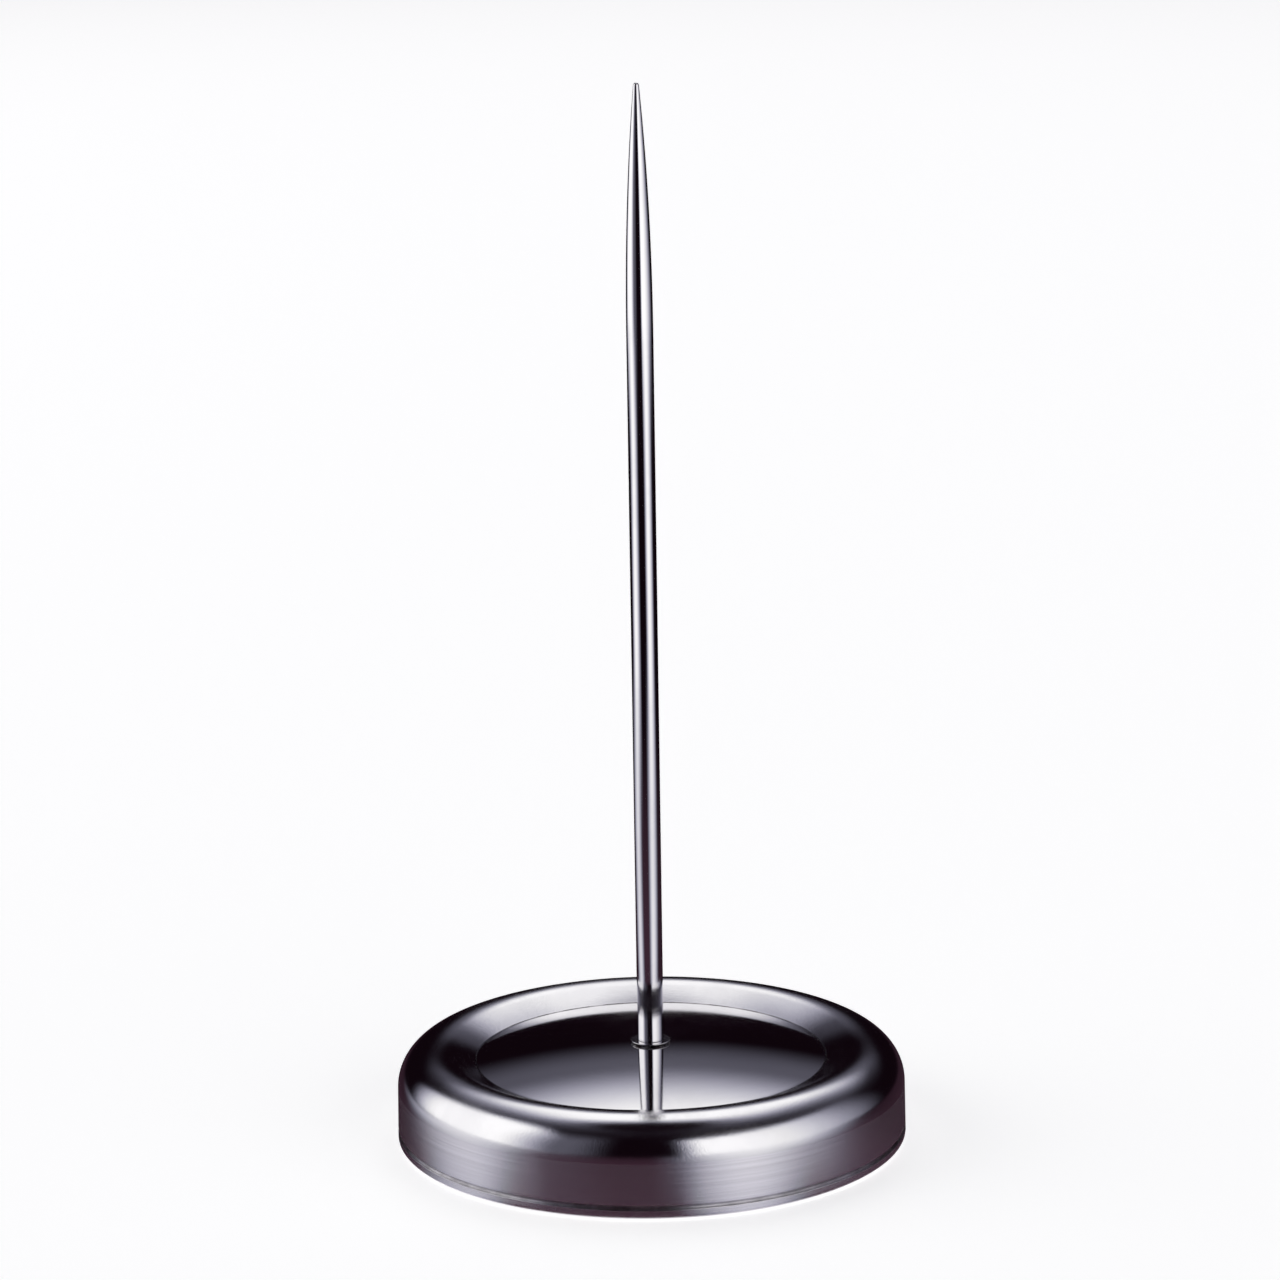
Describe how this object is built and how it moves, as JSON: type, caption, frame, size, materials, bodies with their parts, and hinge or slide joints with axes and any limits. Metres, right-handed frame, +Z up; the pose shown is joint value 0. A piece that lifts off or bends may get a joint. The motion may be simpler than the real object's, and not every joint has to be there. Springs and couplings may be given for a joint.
{
  "type": "bill spike",
  "caption": "Desk bill spike: a polished pointed steel rod clamped upright through a round, weighted, dished steel base, for holding pierced slips of paper.",
  "frame": {"origin": "middle of the anti-slip disc's underside, on the surface that the object stands on", "axes": "+Z up along the spike towards its point; the outside is round, so +X and +Y are free"},
  "size_m": [0.097, 0.097, 0.2],
  "materials": {
    "polished_steel": "mirror-polished stainless steel",
    "shell_steel": "stainless sheet, polished on the dish and rim, with fine lines round the wall",
    "cast_iron": "rough sand casting",
    "zinc_plate": "bright zinc plate",
    "spring_steel": "oiled spring steel",
    "plain_sheet": "plain rolled steel sheet",
    "black_rubber": "fine matt calendered sheet"
  },
  "bodies": {
    "root": {"spike": "polished_steel", "foot_washer": "polished_steel", "base_shell": "shell_steel", "ballast": "cast_iron", "clamp_washer": "zinc_plate", "spring_washer": "spring_steel", "clamp_nut": "zinc_plate", "bottom_plate": "plain_sheet", "anti_slip_disc": "black_rubber"}
  },
  "joints": []
}
